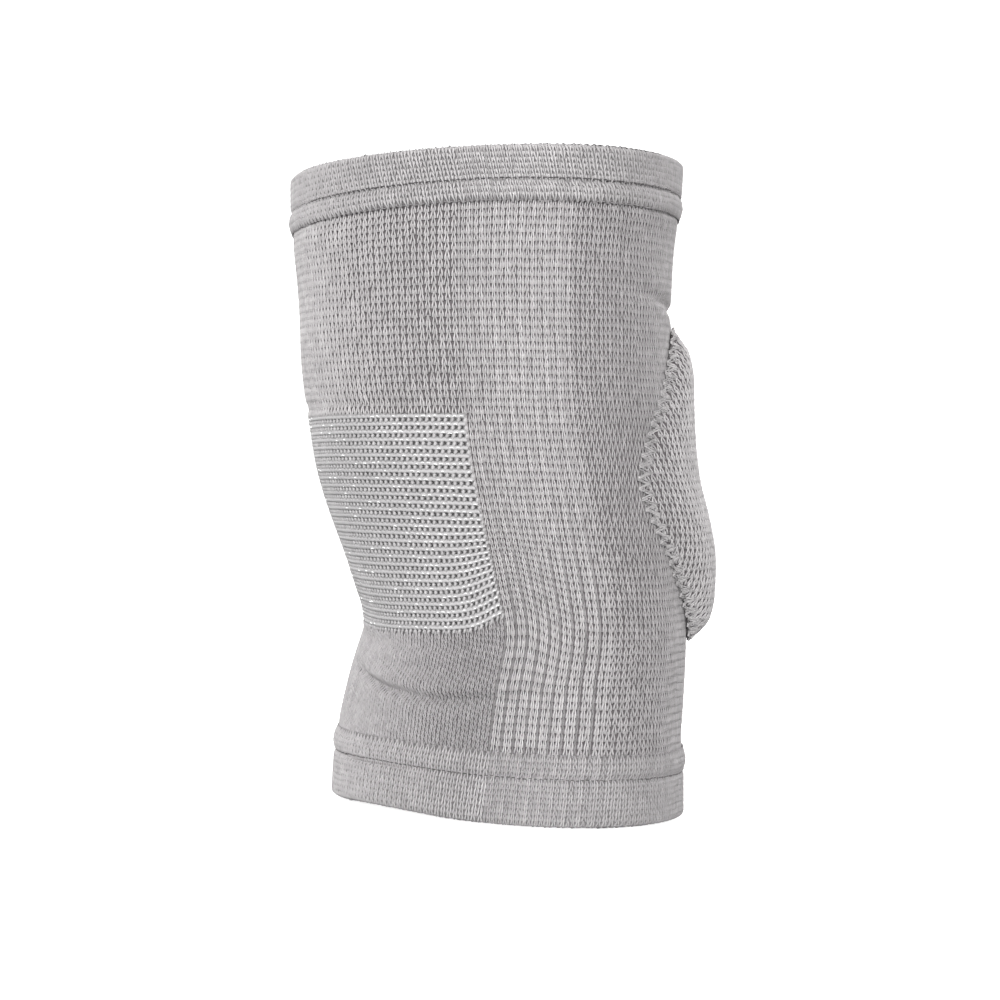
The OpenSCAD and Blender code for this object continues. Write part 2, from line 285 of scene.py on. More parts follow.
def cloth_material(name, colour, roughness, sheen, grain, fuzz):
    """Yarn: the colour times each strand's own tone, which also carries the painted shade laid on
    the strands, mottled by a fine and a slow noise, with a fibrous bump. grain is the fine noise's
    size in mm and fuzz the bump's depth in mm."""
    material = bpy.data.materials.new(name)
    material.use_nodes = True
    nodes, links = material.node_tree.nodes, material.node_tree.links
    shader = nodes["Principled BSDF"]
    shader.inputs["Roughness"].default_value = roughness
    shader.inputs["Sheen Weight"].default_value = sheen
    shader.inputs["Sheen Roughness"].default_value = 0.5
    shader.inputs["Specular IOR Level"].default_value = 0.12
    place = nodes.new("ShaderNodeTexCoord")
    fine = nodes.new("ShaderNodeTexNoise")
    fine.inputs["Scale"].default_value = 1000 / grain
    fine.inputs["Detail"].default_value = 3
    slow = nodes.new("ShaderNodeTexNoise")
    slow.inputs["Scale"].default_value = 90
    slow.inputs["Detail"].default_value = 2
    links.new(place.outputs["Object"], fine.inputs["Vector"])
    links.new(place.outputs["Object"], slow.inputs["Vector"])
    strand = nodes.new("ShaderNodeAttribute")
    strand.attribute_name = "tone"
    spread = nodes.new("ShaderNodeMapRange")
    spread.inputs["From Min"].default_value = 0.25
    spread.inputs["From Max"].default_value = 0.75
    spread.inputs["To Min"].default_value = 0.91
    spread.inputs["To Max"].default_value = 1.08
    links.new(fine.outputs["Fac"], spread.inputs["Value"])
    patch = nodes.new("ShaderNodeMapRange")
    patch.inputs["From Min"].default_value = 0.3
    patch.inputs["From Max"].default_value = 0.7
    patch.inputs["To Min"].default_value = 0.975
    patch.inputs["To Max"].default_value = 1.02
    links.new(slow.outputs["Fac"], patch.inputs["Value"])
    shade = strand.outputs["Fac"]
    for factor in (spread, patch):
        times = nodes.new("ShaderNodeMath")
        times.operation = "MULTIPLY"
        links.new(shade, times.inputs[0])
        links.new(factor.outputs["Result"], times.inputs[1])
        shade = times.outputs["Value"]
    dyed = nodes.new("ShaderNodeVectorMath")
    dyed.operation = "SCALE"
    dyed.inputs[0].default_value = colour
    links.new(shade, dyed.inputs["Scale"])
    links.new(dyed.outputs["Vector"], shader.inputs["Base Color"])
    bump = nodes.new("ShaderNodeBump")
    bump.inputs["Strength"].default_value = 0.5
    bump.inputs["Distance"].default_value = fuzz / 1000
    links.new(fine.outputs["Fac"], bump.inputs["Height"])
    links.new(bump.outputs["Normal"], shader.inputs["Normal"])
    return material


def knit_back_material(name, colour, wale, course):
    """The back of a plain knit: rows of small arcs. The height is a sine of the row number plus
    a bow in each wale, read from the cloth's own map in mm, and the colour falls with it to 0.72
    in the hollows, as painted shade."""
    material = cloth_material(name, colour, 0.9, 0.2, 0.3, 0.1)
    nodes, links = material.node_tree.nodes, material.node_tree.links
    bump = next(n for n in nodes if n.type == "BUMP")
    place = nodes.new("ShaderNodeUVMap")
    place.uv_map = "cloth"
    split = nodes.new("ShaderNodeSeparateXYZ")
    links.new(place.outputs["UV"], split.inputs["Vector"])
    wales = nodes.new("ShaderNodeMath")
    wales.operation = "MULTIPLY"
    wales.inputs[1].default_value = 1 / wale
    links.new(split.outputs["X"], wales.inputs[0])
    bow = nodes.new("ShaderNodeMath")
    bow.operation = "PINGPONG"
    bow.inputs[1].default_value = 0.5
    links.new(wales.outputs["Value"], bow.inputs[0])
    rows = nodes.new("ShaderNodeMath")
    rows.operation = "MULTIPLY_ADD"
    rows.inputs[1].default_value = 1 / course
    links.new(split.outputs["Y"], rows.inputs[0])
    links.new(bow.outputs["Value"], rows.inputs[2])
    wave = nodes.new("ShaderNodeMath")
    wave.operation = "PINGPONG"
    wave.inputs[1].default_value = 0.5
    links.new(rows.outputs["Value"], wave.inputs[0])
    arc = nodes.new("ShaderNodeMath")
    arc.operation = "MULTIPLY"
    links.new(wave.outputs["Value"], arc.inputs[0])
    links.new(bow.outputs["Value"], arc.inputs[1])
    painted_hollow_shade = nodes.new("ShaderNodeMapRange")
    painted_hollow_shade.inputs["From Min"].default_value = 0.0
    painted_hollow_shade.inputs["From Max"].default_value = 0.2
    painted_hollow_shade.inputs["To Min"].default_value = 0.72
    painted_hollow_shade.inputs["To Max"].default_value = 1.05
    links.new(arc.outputs["Value"], painted_hollow_shade.inputs["Value"])
    scale = next(n for n in nodes if n.type == "VECT_MATH")
    old = scale.inputs["Scale"].links[0].from_socket
    both = nodes.new("ShaderNodeMath")
    both.operation = "MULTIPLY"
    links.new(old, both.inputs[0])
    links.new(painted_hollow_shade.outputs["Result"], both.inputs[1])
    links.new(both.outputs["Value"], scale.inputs["Scale"])
    bump.inputs["Distance"].default_value = 0.0004
    links.new(arc.outputs["Value"], bump.inputs["Height"])
    return material


# Painted shade: the ground's outer face is near black so that the eyelets between the stitches read as
# shaded; its inner face, ground_back, is the knit's own grey.
ground_painted_shade = cloth_material("ground_painted_shade", (0.12, 0.11, 0.114), 0.95, 0.1, 0.5, 0.1)
ground_back = knit_back_material("ground_back", (0.40, 0.385, 0.385), 1.9, 2.2)
ground_rows, ring_columns = 160, 288
heights = np.linspace(1.5, top - 1.5, ground_rows)
outer_face = np.column_stack([heights, np.full(ground_rows, -ground_depth)])
inner_face = np.column_stack([heights[::-1], np.full(ground_rows, -ground_depth - ground_thick)])
cloth, faces = closed_band(np.concatenate([outer_face, inner_face]), ring_columns)
column = np.arange(len(faces)) % (2 * ground_rows)
ground = make_piece("sleeve_ground", on_sleeve(cloth), [faces], [ground_painted_shade, ground_back],
                    part=(column >= ground_rows - 1), tone=np.ones(len(cloth)), uv=cloth[:, :2])
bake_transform(ground)

# The plain stitches of the sleeve: every loop of grey yarn shows as a pair of legs that lean
# together at the top, with a small eyelet between them where the ground's painted shade shows.
knit_grey = (0.408, 0.394, 0.397)
sleeve_yarn = cloth_material("sleeve_yarn", knit_grey, 0.88, 0.06, 0.35, 0.12)
lower_hem_top, vent_low, vent_high, upper_hem_low = 19.5, 52.5, 115.4, 173.1
vent_half, ribs_end = 82.5, 115.5
rib_shares, rib_count, elbow_wales = (0.7, 1.15, 1.15), 9, 40
rows_up = 28
course = (vent_high - vent_low) / rows_up
# Each kind of wale: how far its inner and its outer leg close up, how proud it stands in mm,
# its tone and how far its legs reach up and down, as a share of the course.
wale_kinds = np.array([
    (0.00, 0.00, 0.00, 1.00, 0.57),
    (0.95, 0.30, 0.05, 1.01, 0.58),
    (0.25, 0.35, -0.02, 0.98, 0.57),
    (0.20, 0.95, 0.04, 1.01, 0.58),
    (0.90, 0.90, 0.00, 1.00, 0.58),
    (1.00, 0.70, 0.20, 1.03, 0.58),
    (0.70, 1.00, 0.20, 1.03, 0.58),
    # The sunk wale's tone of 0.74 is painted shade in its recess.
    (0.20, 0.20, -0.42, 0.74, 0.56),
    (0.10, 0.10, 0.00, 0.97, 0.52),
    (-0.60, -0.60, 0.00, 1.00, 0.55),
    (-0.50, -0.50, 0.00, 1.00, 0.55)])
OPEN, RIB_IN, RIB_MID, RIB_OUT, SHUT, PROUD_IN, PROUD_OUT, SUNK, BARRED, COVER, BACK = range(11)


def strands(paths, wide, tall, sides=3):
    """Tubes along many paths at once, (N, K, 3) in flat cloth: each ring of corners stands
    across its path, wide in the cloth and tall out of it, and a point closes each end."""
    n, k, _ = paths.shape
    ahead = np.gradient(paths, axis=1)
    across = np.stack([ahead[..., 1], -ahead[..., 0]], -1)
    across /= np.maximum(np.linalg.norm(across, axis=-1, keepdims=True), 1e-9)
    angle = np.radians(90) + np.arange(sides) * 2 * np.pi / sides
    wide, tall = np.broadcast_to(wide, (n, k)), np.broadcast_to(tall, (n, k))
    points = np.repeat(paths[:, :, None], sides, axis=2)
    points[..., :2] += (across * wide[..., None] / 2)[:, :, None] * np.cos(angle)[:, None]
    points[..., 2] += tall[:, :, None] / 2 * np.sin(angle)
    points = np.concatenate([points.reshape(n, -1, 3), paths[:, :1], paths[:, -1:]], 1)
    i, j = np.meshgrid(np.arange(k - 1), np.arange(sides), indexing="ij")
    beside = (j + 1) % sides
    walls = np.stack([i * sides + j, (i + 1) * sides + j, (i + 1) * sides + beside,
                      i * sides + beside], -1).reshape(-1, 4)
    j = np.arange(sides)
    last = (k - 1) * sides
    caps = np.concatenate([
        np.stack([np.full(sides, k * sides), j, (j + 1) % sides], -1),
        np.stack([np.full(sides, k * sides + 1), last + (j + 1) % sides, last + j], -1)])
    start = (np.arange(n) * points.shape[1])[:, None, None]
    return points.reshape(-1, 3), (walls + start).reshape(-1, 4), (caps + start).reshape(-1, 3)


def wale_plan(zone):
    """The wales from the inner elbow round to the elbow on one side: (middle, width, kind), the
    first two in mm. Plain wales, nine ribs of three wales each, then plain wales to the elbow."""
    plain = {"low": 62, "mid": 42}[zone]
    ribs = {"low": (SUNK, PROUD_IN, PROUD_OUT), "mid": (RIB_IN, RIB_MID, RIB_OUT)}[zone]
    elbow = {"low": BARRED, "mid": BACK}[zone]
    shares = np.cumsum(np.tile(rib_shares, rib_count)) / (3 * rib_count)
    edges = np.concatenate([np.linspace(0, vent_half, plain + 1),
                            vent_half + (ribs_end - vent_half) * shares,
                            np.linspace(ribs_end, 180, elbow_wales + 1)[1:]]) * per_degree
    kinds = np.concatenate([np.full(plain, OPEN), np.tile(ribs, rib_count), np.full(elbow_wales, elbow)])
    return (edges[1:] + edges[:-1]) / 2, np.diff(edges), kinds


def both_sides(middle, width, kind):
    """The same wales on the near side (positive) and on the far side (negative)."""
    return np.concatenate([middle, -middle]), np.tile(width, 2), np.tile(kind, 2)


def drawn_back(x, y):
    """Where a wale at x (mm round) lies at height y: beside the cap and below it the wales are
    drawn up to 11 mm towards it. The pull is greatest about 137 degrees round, and dies away
    by a smooth step to nothing at 100 degrees, at the middle of the back and above 128 mm."""
    side = abs(x) / per_degree
    pull = 11 * soft_step(side, 100, 136) * soft_step(side, 180, 138) * soft_step(y, 128, 62)
    return x + np.sign(x) * pull


def stitch_field(wales, low, high, rows, stagger=0.0):
    """Every stitch of some wales between two heights: (middle, height, width, course, kind). Each
    wale starts higher than the last by the stagger, as a share of a course, and then again low."""
    middle, width, kind = wales
    pitch = (high - low) / rows
    shift = (np.arange(len(middle)) * stagger % 1 - 0.5 * (stagger != 0)) * pitch
    level = low + (np.arange(rows) + 0.5) * pitch + shift[:, None]
    grid = np.broadcast_arrays(middle[:, None], level, width[:, None], pitch, kind[:, None])
    x, y, width, pitch, kind = [g.ravel() for g in grid]
    ends = drawn_back(x - width / 2, y), drawn_back(x + width / 2, y)
    return [(ends[0] + ends[1]) / 2, y, ends[1] - ends[0], pitch, kind]


def stitch_legs(field, slant=0.0, lift=0.0, hinge=0.0):
    """Two legs for each stitch. A leg runs from beside the wale's middle at the top out to its
    edge at the bottom, dips under its neighbours at both ends, and is closed up in shut wales.
    Slant leans the wales, as so many mm across for each mm above the hinge. The ribs grow out
    of the plain knit from 104 mm down to 54 mm, and the inner wale of each rib is darkened as it
    sinks, as painted shade. The yarn is paler around 98 degrees round and darker from 108
    degrees on towards the elbow, where it also lies flatter."""
    x, y, width, pitch, kind = field
    n = len(x)
    shut = wale_kinds[kind, :2] + rng.normal(0, 0.05, (n, 2))
    turn = abs(x) / per_degree
    # The yarn's tone is raised around 98 degrees round and lowered from 108 degrees on towards the elbow.
    turn_tone = 1 + 0.20 * np.exp(-((turn - 98) / 17) ** 2) - 0.16 * soft_step(turn, 108, 138)
    tone = wale_kinds[kind, 3] * turn_tone * rng.normal(1, 0.055, n)
    reach = wale_kinds[kind, 4]
    ribbed = soft_step(y, 104, 54) * (kind >= RIB_IN) * (kind <= RIB_OUT)
    rib_lift = ribbed * np.where(kind == RIB_IN, -0.42, 0.16)
    # Painted shade: the inner wale of each rib is darkened as far as it is sunk.
    tone = tone * (1 - 0.26 * ribbed * (kind == RIB_IN))
    x = x + rng.normal(0, 0.03, n) * width
    offsets = rng.normal(0, 0.055, 4096)
    own = offsets[np.round(x * 10).astype(int) % len(offsets)]
    y = y + (own + rng.normal(0, 0.03, n)) * pitch
    up = np.array([1.5, 0.56, -0.24, -1.0])
    gap_open = np.array([0.07, 0.130, 0.270, 0.345])
    gap_shut = np.array([0.07, 0.17, 0.28, 0.345])
    gap = gap_open + (gap_shut - gap_open) * shut[..., None]
    outer = np.array([-1, 1]) * np.sign(x)[:, None]
    paths = np.empty((n, 2, 4, 3))
    paths[..., 0] = x[:, None, None] + outer[..., None] * gap * width[:, None, None]
    paths[..., 1] = (y[:, None] + (reach * pitch)[:, None] * up)[:, None]
    rise = lift + wale_kinds[kind, 2] + rib_lift
    paths[..., 2] = rise[:, None, None] + np.array([-0.15, 0.0, 0.03, -0.02])
    paths[..., 0] += slant * (paths[..., 1] - hinge)
    wide = ((0.37 + 0.10 * shut) * (width * rng.normal(1, 0.04, n))[:, None])[..., None]
    wide = wide * np.array([0.62, 0.80, 1.28, 1.15])
    far_round = soft_step(turn, 118, 150)
    wide = wide * (1 - 0.16 * far_round)[:, None, None]
    tall = np.array([0.34, 0.50, 0.50, 0.36]) * (1 - 0.45 * far_round)[:, None, None] * np.ones(wide.shape)
    paths[..., 2] -= 0.14 * far_round[:, None, None]
    return paths.reshape(-1, 4, 3), wide.reshape(-1, 4), tall.reshape(-1, 4), np.repeat(tone, 2)


def knit_piece(name, groups, materials, put=on_sleeve, foot=0.70):
    """One piece from groups of strands, each group (paths, wide, tall, tone, material number).
    Painted shade darkens each strand's two lower corners to foot times its tone and its two end points to
    0.9 times, where it lies on the cloth; its ridge keeps the tone."""
    points, quads, tris, tones, part_quads, part_tris, start = [], [], [], [], [], [], 0
    for paths, wide, tall, tone, part in groups:
        p, q, t = strands(paths, wide, tall)
        points.append(p)
        quads.append(q + start)
        tris.append(t + start)
        # Painted shade: each ring's two lower corners and the strand's two end points are darker than its
        # ridge.
        painted_corner_shade = np.tile([1.0, foot, foot], paths.shape[1])
        tones.append((tone[:, None] * np.append(painted_corner_shade, [0.9, 0.9])).ravel())
        part_quads.append(np.full(len(q), part))
        part_tris.append(np.full(len(t), part))
        start += len(p)
    return make_piece(name, put(np.concatenate(points)), [np.concatenate(quads), np.concatenate(tris)],
                      materials, part=np.concatenate(part_quads + part_tris), tone=np.concatenate(tones))


def bend_with_elbow(piece, slot, *nodes):
    """Bakes the piece's placement into its mesh and hides the CAD nodes that it stands in for."""
    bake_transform(piece)
    if nodes:
        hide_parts(*nodes)
    return piece


def pick(wales, low, high):
    """The wales whose middle is between these two turns, in degrees either side."""
    turn = abs(wales[0]) / per_degree
    keep = (turn >= low) & (turn < high)
    return [w[keep] for w in wales]


def knit(name, slot, nodes, fields, lift=0.0, slant=0.0, hinge=0.0, material=sleeve_yarn):
    """A panel of knit from its fields of stitches, as one piece, with the CAD nodes it replaces hidden."""
    groups = [(*stitch_legs(field, slant, lift, hinge), 0) for field in fields]
    return bend_with_elbow(knit_piece(name, groups, [material]), slot, *nodes)


low_wales, mid_wales = both_sides(*wale_plan("low")), both_sides(*wale_plan("mid"))
rows_low, rows_fine = 15, 22
rows_high = 20
rows_top = 6
top_of_elbow = vent_high + rows_high * course
fine_grey = (0.368, 0.355, 0.359)
fine_yarn = cloth_material("fine_yarn", fine_grey, 0.9, 0.06, 0.3, 0.1)
rib_yarn = cloth_material("rib_yarn", (0.392, 0.379, 0.382), 0.9, 0.06, 0.35, 0.12)
knitted = [
    knit("crease_knit", "fine_knit", ["crease_panel"],
         [stitch_field(pick(low_wales, 0, vent_half), lower_hem_top, vent_low, rows_fine, stagger=-1 / 3)],
         material=fine_yarn),
    knit("lower_knit", "sleeve_knit", ["lower_sleeve"],
         [stitch_field(pick(low_wales, ribs_end, 180), lower_hem_top, vent_low, rows_low)]),
]
for side, word in ((1, "near"), (-1, "far")):
    own = [w[low_wales[0] * side > 0] for w in low_wales]
    knitted.append(knit(f"rib_knit_{word}", "rib_knit", [f"rib_panel_{word}"],
                        [stitch_field(pick(own, vent_half, ribs_end), lower_hem_top, vent_low, rows_low)],
                        material=rib_yarn))
knitted += [
    knit("elbow_knit", "sleeve_knit", ["elbow_sleeve"],
         [stitch_field(pick(mid_wales, vent_half, 180), vent_low, vent_high, rows_up)]),
    knit("arm_knit", "sleeve_knit", [],
         [stitch_field(mid_wales, vent_high, top_of_elbow, rows_high)]),
    knit("upper_knit", "sleeve_knit", ["upper_sleeve"],
         [stitch_field(mid_wales, top_of_elbow, upper_hem_low, rows_top)]),
]

# The vent on the inside of the elbow: rows of soft white thread laid over grey loops, with a
# round hole under every arch of the thread. It is knitted in, and lets the bend breathe.
white = cloth_material("white_thread", (0.365, 0.358, 0.361), 0.85, 0.06, 0.3, 0.1)
pale_yarn = cloth_material("pale_yarn", (0.345, 0.337, 0.340), 0.88, 0.06, 0.3, 0.1)
vent_wales = pick(mid_wales, 0, vent_half)
vent_pitch = vent_wales[1][0]
samples = 5
cells = 84
levels = vent_low + (np.arange(rows_up) + 0.5) * course
along = np.linspace(-vent_half, vent_half, cells * samples + 1) * per_degree
phase = along / vent_pitch * np.pi
arches = np.empty((rows_up, len(along), 3))
arches[..., 0] = along
wobble = rng.normal(0, 0.05, (rows_up, len(along)))
arches[..., 1] = levels[:, None] + 0.26 + 0.22 * abs(np.sin(phase)) + wobble
arches[..., 2] = -0.04 + 0.10 * abs(np.sin(phase)) + rng.normal(0, 0.02, (rows_up, len(along)))
inlay_wide = (2.12 - 0.22 * abs(np.sin(phase)))[None] * rng.normal(1, 0.04, (rows_up, len(along)))
x, y, width = stitch_field(vent_wales, vent_low, vent_high, rows_up)[:3]
post_paths = np.empty((len(x), 3, 3))
post_paths[..., 0] = (x + width / 2)[:, None] + rng.normal(0, 0.04, (len(x), 1)) + [-0.4, 0.0, 0.4]
post_paths[..., 1] = y[:, None] + np.array([-1.35, -0.80, -0.2])
post_paths[..., 2] = np.array([-0.10, 0.06, -0.10])
# The vent's strands take a lighter painted shade on their sides, 0.88 of the ridge's tone.
vent_threads = bend_with_elbow(
    knit_piece("vent_threads", [(arches, inlay_wide, np.full(arches.shape[:2], 0.36),
                                 rng.normal(1, 0.02, rows_up), 0)], [white],
               foot=0.88),
    "inlay_thread", "vent_inlay_threads")
vent_knit = bend_with_elbow(
    knit_piece("vent_knit", [(post_paths, np.full((len(x), 3), 1.0) * [1.75, 1.5, 1.75],
                              np.full((len(x), 3), 0.42), rng.normal(1.0, 0.07, len(x)), 0)], [pale_yarn],
               foot=0.88),
    "vent_knit", "vent_panel")
# Painted highlights: short near-white dashes on top of the arches, more often towards both edges of the
# vent, stand in for light glinting on the shiny thread.
glint_x, glint_y = [g.ravel() for g in np.meshgrid(
    (np.arange(cells) - (cells - 1) / 2) * vent_pitch, levels, indexing="ij")]
shown = rng.random(len(glint_x)) < 0.08 + 0.60 * soft_step(abs(glint_x) / vent_half, 0.45, 0.95)
glint_x, glint_y = glint_x[shown], glint_y[shown]
glint_count = len(glint_x)
painted_glints = np.empty((glint_count, 4, 3))
painted_glints[..., 0] = glint_x[:, None] + rng.uniform(0.6, 1.2, (glint_count, 1)) * [-0.55, -0.2, 0.2, 0.55]
painted_glints[..., 1] = glint_y[:, None] + 0.34 + rng.normal(0, 0.12, (glint_count, 1)) + [-0.12, 0.08, 0.08, -0.1]
painted_glints[..., 2] = [0.08, 0.28, 0.28, 0.08]
glint_paint = cloth_material("painted_glint_thread", (0.95, 0.95, 0.95), 0.6, 0.1, 0.3, 0.05)
vent_painted_glints = bend_with_elbow(
    knit_piece("vent_painted_glints", [(painted_glints, np.full((glint_count, 4), 0.42), np.full((glint_count, 4), 0.3),
                                rng.normal(1, 0.05, glint_count), 0)], [glint_paint]), "inlay_thread")
knitted += [vent_threads, vent_knit, vent_painted_glints]

# The two cuffs: the sleeve's end is turned in and stitched down over a band of elastic. Their
# wales are closed up and lean a little, and two rows of fine thread run round each of them.
hem_out = 0.45
hem_in = 2.3
inside_reach = 5.0
yarn_lift = 0.3
cuff_yarn = cloth_material("cuff_yarn", (0.368, 0.356, 0.359), 0.9, 0.06, 0.35, 0.12)
# Painted shade: the cuff's ground is near black on its outer face so that the eyelets between its stitches
# read as shaded; its turned-in face takes the knit's own grey.
cuff_ground_painted_shade = cloth_material("cuff_ground_painted_shade", (0.19, 0.18, 0.183), 0.95, 0.1, 0.5, 0.1)
cuff_back = knit_back_material("cuff_back", (0.38, 0.366, 0.368), 1.7, 1.9)
painted_shade_thread = cloth_material("painted_shade_thread", (0.12, 0.114, 0.116), 0.8, 0.06, 0.25, 0.06)
elastic_material = cloth_material("elastic_band", (0.72, 0.71, 0.69), 0.85, 0.2, 0.4, 0.1)


def cuff_outline(rim, edge):
    """The folded cuff's cut outline: up the outer face, in over the sewn edge, down the inner
    face and round the rim in a half circle. Turned over for the upper cuff."""
    sign = np.sign(edge - rim)
    mid, half = (hem_out - hem_in) / 2, (hem_out + hem_in) / 2
    turn = np.linspace(-np.pi / 2, np.pi / 2, 9)
    round_rim = np.column_stack([rim + sign * half * (1 - np.cos(turn)), mid + half * np.sin(turn)])
    outer = np.column_stack([np.linspace(rim + sign * half, edge - sign * 0.4, 12), np.full(12, hem_out)])
    inner = outer[::-1] * [1, 0] - [0, hem_in]
    shoulder = [[edge, hem_out - 0.5], [edge, -hem_in + 0.5]]
    points = np.concatenate([round_rim, outer[1:], shoulder, inner[:-1]])
    return points if sign > 0 else points[::-1]


def cuff_stitches(rim, edge, rows, slant, rib_edge):
    """The cuff's closed wales, from the sewn edge down over the rim and part way inside: the
    same legs, laid along the outline of the fold. Over each rib runs a wale of the kind rib_edge."""
    middle, width, kind = both_sides(*wale_plan("mid"))
    kind = np.where(kind == RIB_OUT, rib_edge, SHUT)
    sign = np.sign(edge - rim)
    field = stitch_field((middle, width, kind), 0, abs(edge - rim) + inside_reach, rows)
    paths, wide, tall, tone = stitch_legs(field, slant * sign, 0.0, 10.0)
    half = (hem_out + hem_in) / 2
    run = paths[..., 1] - inside_reach
    lift = paths[..., 2]
    straight = run >= half
    angle = np.clip((half - run) / half, 0, np.pi)
    radius = half + lift + yarn_lift
    height = np.where(straight, run, half - radius * np.sin(angle))
    out = np.where(straight, hem_out + yarn_lift + lift, (hem_out - hem_in) / 2 + radius * np.cos(angle))
    past = np.clip((half - run) / half - np.pi, 0, None) * half
    height = height + past
    paths[..., 1] = rim + sign * height
    paths[..., 2] = out
    if sign < 0:
        paths = paths[:, ::-1]
        wide, tall = wide[:, ::-1], tall[:, ::-1]
    return paths, wide, tall, tone


def thread_row(level, out, pale, length=1.25, gap=0.35):
    """A row of fine stitches round a cuff: short thread dashes that dip at both ends, painted dark
    as the shade in the needle holes along the row, with a small loop drawn up between one dash
    and the next and toned up towards the yarn's grey. Pale multiplies the dashes' tone and so
    lifts their painted shade."""
    count = int(2 * half_round / (length + gap))
    start = np.linspace(-half_round, half_round, count, endpoint=False)
    share = np.array([0.0, 0.15, 0.5, 0.85, 1.0])
    dash = np.empty((count, 5, 3))
    dash[..., 0] = start[:, None] + share * length
    dash[..., 1] = level + rng.normal(0, 0.07, (count, 1)) + 0.05 * np.sin(share * np.pi)
    dash[..., 2] = out + np.array([-0.3, 0.12, 0.18, 0.12, -0.3])
    loop = dash[:, :4].copy()
    loop[..., 0] = start[:, None] - gap / 2 + np.array([-0.18, -0.1, 0.1, 0.18])
    loop[..., 1] = level + np.array([-0.05, 0.55, 0.55, -0.05])
    loop[..., 2] = out + np.array([-0.3, 0.05, 0.05, -0.3])
    dash_tone, loop_tone = pale * rng.normal(0.9, 0.1, count), rng.normal(2.5, 0.25, count)
    return [(dash, np.full((count, 5), 0.42), np.full((count, 5), 0.4), dash_tone, 0),
            (loop, np.full((count, 4), 0.30), np.full((count, 4), 0.35), loop_tone, 0)]


cuffs = {
    "lower": (0.0, lower_hem_top, 15, np.tan(radians(5)), BARRED, lower_rows),
    "upper": (top, upper_hem_low, 12, -np.tan(radians(12)), SHUT, upper_rows),
}
for word, (rim, edge, rows, slant, rib_edge, seams) in cuffs.items():
    body = {"lower": "forearm", "upper": "upper_arm"}[word]
    outline = cuff_outline(rim, edge)
    cloth, faces = closed_band(outline, ring_columns)
    turned_in = outline[np.arange(len(faces)) % len(outline), 1] < -1.5
    band = make_piece(f"{word}_cuff", on_sleeve(cloth), [faces], [cuff_ground_painted_shade, cuff_back], part=turned_in,
                      tone=np.ones(len(cloth)), uv=cloth[:, :2])
    legs = cuff_stitches(rim, edge, rows, slant, rib_edge)
    stitches = knit_piece(f"{word}_cuff_knit", [(*legs, 0)], [cuff_yarn])
    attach(band, body)
    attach(stitches, body)
    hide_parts(f"{word}_cuff_hem")
    # The edge row's dashes are 2.3 times paler: less painted shade where the cuff's shoulder already shades
    # them.
    for name, level, out, pale in (
            ("band", seams[0], hem_out + 0.42, 1),
            ("edge", seams[1], hem_out - 0.05, 2.3)):
        row = knit_piece(f"{word}_{name}_thread", thread_row(level, out, pale), [painted_shade_thread])
        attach(row, body)
        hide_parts(f"{word}_hem_{name}_stitch")
        knitted.append(row)
    sign = np.sign(edge - rim)
    at_edge, at_rim = edge - sign * 1.2, rim + sign * 2.4
    tape = np.array([[at_edge, -0.5], [at_edge, -1.5], [at_rim, -1.5], [at_rim, -0.5]])
    cloth, faces = closed_band(tape[::int(sign)], ring_columns)
    elastic = make_piece(f"{word}_elastic", on_sleeve(cloth), [faces], [elastic_material],
                         tone=np.ones(len(cloth)), smooth=False)
    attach(elastic, body)
    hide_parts(f"{word}_cuff_elastic")
    knitted.append(elastic)
    knitted += [band, stitches]

# The elbow cap: a pad of foam in a cover of plain knit, sewn down on the back of the elbow. It
# is widest in the middle and comes to a point above and below, with two humps down its length.
cap_share = 0.97
cap_half_turn = 40
cap_edge = 0.4
cap_grey = (0.400, 0.387, 0.390)
cap_yarn = cloth_material("cap_yarn", cap_grey, 0.9, 0.06, 0.3, 0.1)
# Painted shade: the pad under the cap's stitches is near black so that the gaps between its wales read as
# shaded.
cap_ground_painted_shade = cloth_material("cap_ground_painted_shade", (0.09, 0.082, 0.085), 0.95, 0.1, 0.4, 0.1)
cap_lining_cloth = cloth_material("cap_lining_cloth", (0.60, 0.59, 0.585), 0.9, 0.2, 0.4, 0.1)
firm_foam = cloth_material("firm_foam", (0.18, 0.18, 0.19), 0.95, 0.0, 0.6, 0.3)
soft_foam = cloth_material("soft_foam", (0.50, 0.50, 0.48), 0.95, 0.0, 0.6, 0.3)
elbow_heights = np.linspace(30, 165, 700)
elbow_points = ring_at(elbow_heights)[:, 2:4]
cap_line = side_line(node_points("cap_cover"), 1)
gaps = np.linalg.norm(cap_line[:, None] - elbow_points[None], axis=2)
cap_heights, cap_rises = elbow_heights[gaps.argmin(1)], gaps.min(1)
cap_low, cap_high = cap_heights.min(), cap_heights.max()
cap_mid, cap_half = (cap_low + cap_high) / 2, (cap_high - cap_low) / 2


def cap_half_width(t):
    """Half the cap's width this far along it (t from -1 to 1), in mm: the outline comes to a
    point as 1 - |t|^1.5."""
    return per_degree * cap_half_turn * (1 - abs(cap_share * np.clip(t, -1, 1)) ** 1.5)


def cap_rise(u, t):
    """How far the cover stands off the sleeve: the profile down its middle, filled out a little
    to its ends, times a crown that falls to the sewn edge as 1 - |u|^2.6."""
    middle = np.interp(cap_mid + cap_half * t, cap_heights, cap_rises)
    crown = 1 - np.clip(abs(u), 0, 1) ** 2.6
    return cap_edge + (1.14 * np.clip(middle - cap_rises[0], 0, None) + 1.8 * (1 - t ** 12)) * crown


